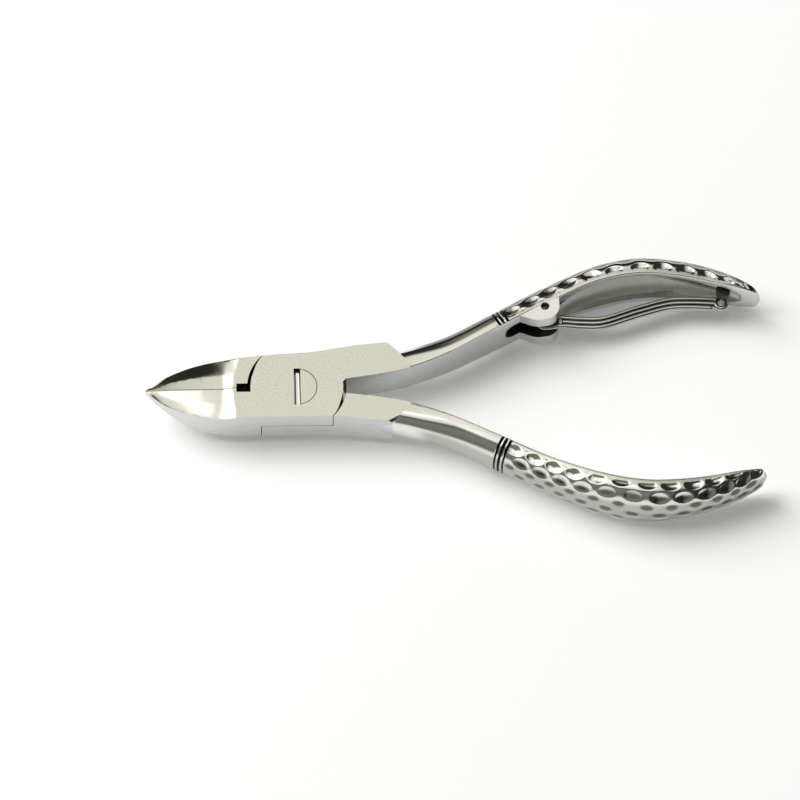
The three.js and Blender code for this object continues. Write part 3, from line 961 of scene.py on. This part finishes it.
def painted_shade_at(x, y, z):
    """How much painted shade (0 to 1) a place on a handle's outer side gets."""
    if not shoulder_x < x < handle_end_x:
        return 0
    rim, depth, height, band = handle_profile(x)
    across = max(0, abs(y) - rim - band) / (depth - polishing_loss - band)
    upright = abs(z - mid_z) / (height / 2)
    power = 2 / outer_fullness
    sunk = (1 - (across ** power + upright ** power) ** (1 / power)) * (depth - band)
    if sunk > dimple_depth + 0.2:
        return 0
    most, fade_from, fade_to = side_painted_shade[1 if y > 0 else -1]
    side = most * (1 - smooth_step(upright, fade_from, fade_to))
    side *= smooth_step(x, shoulder_x + shoulder_chamfer, shoulder_x + 2 * shoulder_chamfer)
    floor = smooth_step(sunk, *shaded_floor_depths) * (1 - smooth_step(upright, *shaded_floor_fade))
    return max(side, floor if x > length_from_x else 0)


def finish_lever(lever):
    """Gives each face of a lever its finish, or painted shade or light, by where it lies and how it
    faces.

    The small lengths added and taken away are tolerances for where the cuts lie.
    """
    finishes = [mirror_polish, ground_flat, satin_side, jaw_polish, painted_gap_shade, slot_painted_shade,
                channel_painted_light, rim_polish_painted_shade]
    lever.data.materials.clear()
    for finish in finishes:
        lever.data.materials.append(finish)
    for face in lever.data.polygons:
        x, y, z = face.center
        normal = face.normal
        from_axis = math.hypot(x, y)
        upright = abs(normal.z) < 0.5
        on_rim = x > crotch_x and abs(y) < rim_y(min(x, handle_end_x)) + 0.3
        choice = mirror_polish
        in_slot = slot_start_x < x < slot_end_x + 1 and abs(z - mid_z) < ear_gap / 2 + 0.02
        if y > 0 and in_slot and y < rim_y(x) + 4 and (y < rim_y(x) or normal.y < 0.5):
            on_floor = y > rim_y(x) + 0.02 or abs(normal.z) > 0.9
            # The slot's floor gets painted shade.
            choice = slot_painted_shade if on_floor else satin_side
        elif x > shoulder_x - 2 and abs(normal.z) > 0.96 \
                and rim_y(min(x, handle_end_x)) < abs(y) < on_band(x) and abs(z - mid_z) > 2:
            past_grooves = x > length_from_x + groove_lengths[0]
            # Painted shade: only the upper handle's band past the grooves gets the darker rim
            # colour.
            choice = rim_polish_painted_shade if y > 0 and past_grooves else ground_flat
        elif x < shoulder_x + shoulder_chamfer + 0.1:
            if abs(normal.z) > 0.985 and (z > joint_thickness - 0.02 or z < 0.02):
                choice = ground_flat
            # Painted shade, near black: the walls of the gap between the jaws, round the screw
            # head, at the lap's end gaps and in the notch.
            elif jaw_tip_x + 1.5 < x < jaw_root_x and abs(y) < 0.25 and abs(normal.y) > 0.3:
                choice = painted_gap_shade
            elif x < jaw_tip_x + 0.35 and normal.x < -0.2:
                choice = ground_flat
            elif x < jaw_root_x + 0.5 and normal.z > 0.25 and z > mid_z:
                choice = jaw_polish
            elif from_axis < screw_head_radius + 0.3:
                choice = painted_gap_shade
            elif upright and lap_radius - 0.2 < from_axis < lap_radius + lap_end_gap + 0.1 \
                    and abs(y) < joint_edge(min(max(x, jaw_root_x), shoulder_x),
                                            1 if y > 0 else -1) - 0.05:
                choice = painted_gap_shade
            elif upright and x < -lap_radius + 0.3 and abs(y) < notch_half_width + 0.05:
                choice = painted_gap_shade
            elif upright and (x < shoulder_x or on_rim):
                choice = satin_side
        elif on_rim and upright:
            choice = satin_side
        # Painted light in the channel.
        elif channel_start_x < x < channel_end_x and normal.y * y < -0.05 \
                and abs(z - mid_z) < handle_profile(x)[2] / 2 - rim_wall + 0.1:
            choice = channel_painted_light
        # Painted shade in the turned grooves.
        elif groove_at(length_at(groove_foot(x, abs(y)))) > groove_depth * 0.35:
            choice = painted_gap_shade
        face.material_index = finishes.index(choice)
    # Painted shade on the handles' outer sides and dimple floors, kept as a vertex layer.
    shade_paint = lever.data.attributes.new("painted_shade", "FLOAT", "POINT")
    for vert, mark in zip(lever.data.vertices, shade_paint.data):
        mark.value = painted_shade_at(*vert.co)


def smooth_metal(piece, angle):
    """Shades a finished metal piece smooth between its edges, with flats kept flat."""
    piece.data.transform(Matrix.Scale(MM, 4))
    piece.data.shade_smooth()
    piece.data.set_sharp_from_angle(angle=math.radians(angle))
    flat = piece.modifiers.new("flats kept flat", "WEIGHTED_NORMAL")
    flat.keep_sharp = True


for body, node, layer in (("sprung_lever", "lever_a", 1), ("plain_lever", "lever_b", -1)):
    lever = head_block(layer)
    machine(lever, as_object("handle", handle_bar(layer)), "UNION", "MANIFOLD")
    if layer > 0:
        for lug in ears():
            machine(lever, lug, "UNION", "MANIFOLD")
        machine(lever, ear_slot_cutter(), solver="MANIFOLD")
        pin_bore = round_bar(pin_radius + running_gap, -6, 14, ear_pin_x, ear_pin_y, 32)
        machine(lever, as_object("pin bore", pin_bore), solver="MANIFOLD")
    lever.name = f"{body}_forging"
    finish_lever(lever)
    smooth_metal(lever, 32)
    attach(lever, body)
    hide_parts(node)


# ---- Pivot screw ----------------------------------------------------------------------------
# A slotted cheese head, let into the upper lever and ground flush with it; its shank is fixed in
# the lower lever. The seam round the head is open beside the slot and ground over on the left.
# The slot's walls and ends and the open seam are painted in near black shade.

screw_slot_width = 1.2
screw_slot_depth = 0.9
screw_slot_middle = 0.08
screw_slot_round = 0.42
screw_seam = 0.13


def turned(profile, x=0, y=0, steps=96):
    """A round piece turned about an upright axis from its (radius, height) profile."""
    shape = bmesh.new()
    verts = [shape.verts.new((radius, 0, z)) for radius, z in profile]
    edges = [shape.edges.new(pair) for pair in zip(verts, verts[1:])]
    bmesh.ops.spin(shape, geom=verts + edges, cent=(0, 0, 0), axis=(0, 0, 1), dvec=(0, 0, 0),
                   angle=2 * math.pi, steps=steps, use_merge=True)
    bmesh.ops.remove_doubles(shape, verts=shape.verts, dist=1e-4)
    bmesh.ops.recalc_face_normals(shape, faces=shape.faces)
    bmesh.ops.translate(shape, vec=(x, y, 0), verts=shape.verts)
    return shape


shape = turned([(0, 0), (screw_shank_radius, 0), (screw_shank_radius, head_seat_z),
                (screw_head_radius, head_seat_z), (screw_head_radius, joint_thickness),
                (0, joint_thickness)])
seam = []
for edge in shape.edges:
    middle = (edge.verts[0].co + edge.verts[1].co) / 2
    on_top = min(vert.co.z for vert in edge.verts) > joint_thickness - 0.01
    if on_top and middle.xy.length > screw_head_radius - 0.01 and middle.x > screw_slot_middle:
        seam.append(edge)
rounded(shape, seam, screw_seam, 1)
screw = as_object("pivot_screw_head", shape)
slot_shape = bmesh.new()
bmesh.ops.create_cube(slot_shape, size=1)
bmesh.ops.scale(slot_shape, vec=(screw_slot_width, 3 * screw_head_radius, 2 * screw_slot_depth),
                verts=slot_shape.verts)
bmesh.ops.translate(slot_shape, vec=(screw_slot_middle, 0, joint_thickness),
                    verts=slot_shape.verts)
floor_edges = [e for e in slot_shape.edges
               if all(v.co.z < joint_thickness for v in e.verts) and
               abs(e.verts[0].co.x - e.verts[1].co.x) < 0.01]
rounded(slot_shape, floor_edges, screw_slot_round, 5)
machine(screw, as_object("slot cutter", slot_shape))
# Painted shade: every face below the top, but the slot's floor, is near black.
for finish in (ground_flat, painted_gap_shade, mirror_polish):
    screw.data.materials.append(finish)
for face in screw.data.polygons:
    x, y, z = face.center
    if face.normal.z > 0.99 and z > joint_thickness - 0.01:
        face.material_index = 0
    elif face.normal.z > 0.2 and abs(x - screw_slot_middle) < screw_slot_width / 2 - 0.05:
        face.material_index = 2
    else:
        face.material_index = 1
smooth_metal(screw, 30)
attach(screw, "plain_lever")
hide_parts("pivot_screw")


# ---- Ear pin --------------------------------------------------------------------------------
# A plain steel rivet through both ears, with slightly domed ends sunk below the ears' faces. It is
# coloured near black, as painted shade in its hole.

pin_low = mid_z - handle_profile(ear_pin_x)[2] / 2
pin_high = mid_z + handle_profile(ear_pin_x)[2] / 2
pin_sink = 0.75
# (radius, rise beyond the sunk end's edge), from the middle of an end to its edge
pin_end = [(0, 0.15), (pin_radius * 0.6, 0.09), (pin_radius, 0)]
pin_profile = ([(radius, pin_low + pin_sink - dome) for radius, dome in pin_end]
               + [(radius, pin_high - pin_sink + dome) for radius, dome in pin_end[::-1]])
pin_painted_shade = grained("pin painted shade", (0.10, 0.10, 0.10), (0.05, 0.05, 0.05), 0.15, 0.3)
ear_pin = as_object("ear_pin_rivet", turned(pin_profile, ear_pin_x, ear_pin_y, 40))
ear_pin.data.materials.append(pin_painted_shade)
smooth_metal(ear_pin, 50)
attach(ear_pin, "sprung_lever")
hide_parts("spring_ear_pin")


# ---- Spring wire ----------------------------------------------------------------------------
# Bright drawn wire. The working leg is three strands side by side, bent round the ear pin in a
# hairpin and ending in an eye; the anchor leg winds round the pin above it, lies in the handle's
# channel and comes out of it to the barrel.

wire_radius = 0.465
wire_end_round = 0.12
strand_pitch = 2 * wire_radius - 0.06
strand_z = mid_z - 1.3
turn_pitch = 2 * wire_radius + 0.07
coil_radius = pin_radius + running_gap + wire_radius + 0.03
anchor_turns = 1.5
eye_x = handle_end_x - 7.2
eye_y = rim_y(eye_x) - 1.35
eye_radius = 0.515 + wire_radius
barrel_x, barrel_y, barrel_z = eye_x + 0.4, eye_y + 1.45, strand_z + 2.1

# (share of the way from the ear pin to the eye, distance behind the inner rim)
leg_bends = [(0.097, -2.18), (0.2, -4), (0.322, -5.4), (0.535, -4.5), (0.705, -2.83),
             (0.809, -2.28)]
anchor_bends = [(0.122, 1.45), (0.261, 2.2), (0.429, 2.55), (0.581, 2.25), (0.778, 1.13)]


def beside_rim(bends, shift_y, z):
    """Points that follow the handle's inner rim between the ear pin and the eye."""
    points = []
    for share, behind in bends:
        x = ear_pin_x + share * (eye_x - ear_pin_x)
        points.append(Vector((x, rim_y(x) + behind + shift_y, z)))
    return points


def round_pin(from_angle, to_angle, from_z, to_z, count):
    """Points round the ear pin, rising or falling with the turn."""
    return [Vector((ear_pin_x + coil_radius * math.cos(angle),
                    ear_pin_y + coil_radius * math.sin(angle),
                    from_z + (to_z - from_z) * k / count))
            for k, angle in enumerate(spaced(from_angle, to_angle, count))]


def bent(points, per_span):
    """A smooth line through the bends, with no overshoot at short spans."""
    ends = [2 * points[0] - points[1]] + points + [2 * points[-1] - points[-2]]
    line = []
    for a, b, c, d in zip(ends, ends[1:], ends[2:], ends[3:]):
        before, here, after = ((q - p).length ** 0.5 for p, q in ((a, b), (b, c), (c, d)))
        leave = ((b - a) / before - (c - a) / (before + here) + (c - b) / here) * here
        arrive = ((c - b) / here - (d - b) / (here + after) + (d - c) / after) * here
        for k in range(per_span):
            t = k / per_span
            line.append(b + leave * t + (3 * (c - b) - 2 * leave - arrive) * t * t
                        + (2 * (b - c) + leave + arrive) * t * t * t)
    return line + [points[-1]]


def wire(name, points, closed=False):
    """Round wire along a line of points."""
    curve = bpy.data.curves.new(name, "CURVE")
    curve.dimensions = "3D"
    curve.bevel_depth = wire_radius
    curve.bevel_resolution = 6
    curve.use_fill_caps = True
    spline = curve.splines.new("POLY")
    spline.points.add(len(points) - 1)
    for place, point in zip(spline.points, points):
        place.co = (*point, 1)
    spline.use_cyclic_u = closed
    drawn = bpy.data.objects.new(name, curve)
    scene.collection.objects.link(drawn)
    ready = drawn.evaluated_get(bpy.context.evaluated_depsgraph_get())
    mesh = bpy.data.meshes.new_from_object(ready)
    bpy.data.curves.remove(curve)
    shape = bmesh.new()
    shape.from_mesh(mesh)
    bmesh.ops.remove_doubles(shape, verts=shape.verts, dist=1e-4)
    bmesh.ops.recalc_face_normals(shape, faces=shape.faces)
    caps = [e for e in shape.edges if len(e.link_faces) == 2 and e.calc_face_angle() > 1.2]
    rounded(shape, caps, wire_end_round, 2)
    return as_object(name, shape)


def strand(offset, end_x):
    """The bends of one of the working leg's strands, beside the middle one by its offset."""
    bends = beside_rim(leg_bends, offset * strand_pitch, strand_z)
    return bends + [Vector((end_x, eye_y + offset * strand_pitch, strand_z))]


bright_wire = grained("bright wire", (0.56, 0.55, 0.51), (0.46, 0.45, 0.42), 0.08, 0.14,
                      scale=1500, bump=0.03)
shaded_wire = grained("shaded wire", (0.46, 0.45, 0.40), (0.36, 0.35, 0.31), 0.10, 0.18,
                      scale=1500, bump=0.03)
hairpin = round_pin(-math.pi / 2, -1.5 * math.pi, strand_z, strand_z, 8)
loop = strand(-1, eye_x - 1.6)[::-1] + hairpin + strand(1, eye_x - 0.6)
working_leg = wire("working_leg_wire", bent(loop, 8))
middle_line = bent(strand(0, eye_x - eye_radius), 12)
machine(working_leg, wire("middle strand", middle_line), "UNION", "MANIFOLD")
eye = [Vector((eye_x + eye_radius * math.cos(a), eye_y + eye_radius * math.sin(a), strand_z))
       for a in spaced(0, 2 * math.pi, 40)[:-1]]
machine(working_leg, wire("eye", eye, closed=True), "UNION", "MANIFOLD")

valley_half_width = 0.14
valley_half_height = 0.75 * wire_radius


def between_strands(x, y, z):
    """Whether a place on the working leg lies in the valley between two strands, which gets painted
    shade.
    """
    for a, b in zip(middle_line, middle_line[1:]):
        if a.x <= x <= b.x:
            middle = a.y + (b.y - a.y) * (x - a.x) / (b.x - a.x)
            return (abs(abs(y - middle) - strand_pitch / 2) < valley_half_width
                    and abs(z - strand_z) < valley_half_height)
    return False


anchor_top_z = mid_z + ear_gap / 2 - wire_radius - running_gap
first_angle = math.pi / 2 + 2 * math.pi * anchor_turns
anchor_line = round_pin(first_angle, math.pi / 2, anchor_top_z - turn_pitch * anchor_turns,
                        anchor_top_z, 20)
anchor_line += beside_rim(anchor_bends, 0, anchor_top_z - 0.3)
anchor_line.append(Vector((barrel_x - 0.7, barrel_y + 0.2, barrel_z)))
anchor_leg = wire("anchor_leg_wire", bent(anchor_line, 8))
for piece, finish, body, node in (
        (working_leg, bright_wire, "working_leg", "spring_working_leg"),
        (anchor_leg, shaded_wire, "sprung_lever", "spring_anchor_leg")):
    piece.data.materials.clear()
    piece.data.materials.append(finish)
    if piece is working_leg:
        # Painted shade in the valleys between the strands.
        piece.data.materials.append(painted_gap_shade)
        for face in piece.data.polygons:
            face.material_index = int(between_strands(*face.center))
    smooth_metal(piece, 40)
    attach(piece, body)
    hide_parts(node)


# ---- Catch barrel ---------------------------------------------------------------------------
# A small black barrel pushed on the end of the anchor leg, with broken edges and a shallow dimple
# in each end. The working leg's eye is stowed against it.

barrel_radius = 1.35
barrel_half = 0.85
# (radius, distance in from the end), from the middle of an end to its edge
barrel_end = [(0, 0.15), (0.4, 0.12), (0.62, 0), (1.12, 0), (1.27, 0.07), (barrel_radius, 0.24)]
barrel_profile = ([(radius, -barrel_half + inset) for radius, inset in barrel_end]
                  + [(radius, barrel_half - inset) for radius, inset in barrel_end[::-1]])
barrel = as_object("catch_barrel_black", turned(
    [(radius, barrel_z + z) for radius, z in barrel_profile], barrel_x, barrel_y, 48))
barrel.data.materials.append(
    grained("black barrel", (0.025, 0.025, 0.024), (0.010, 0.010, 0.010), 0.28, 0.45, scale=4000,
            bump=0.1, metal=0))
smooth_metal(barrel, 45)
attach(barrel, "sprung_lever")
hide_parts("catch_barrel")
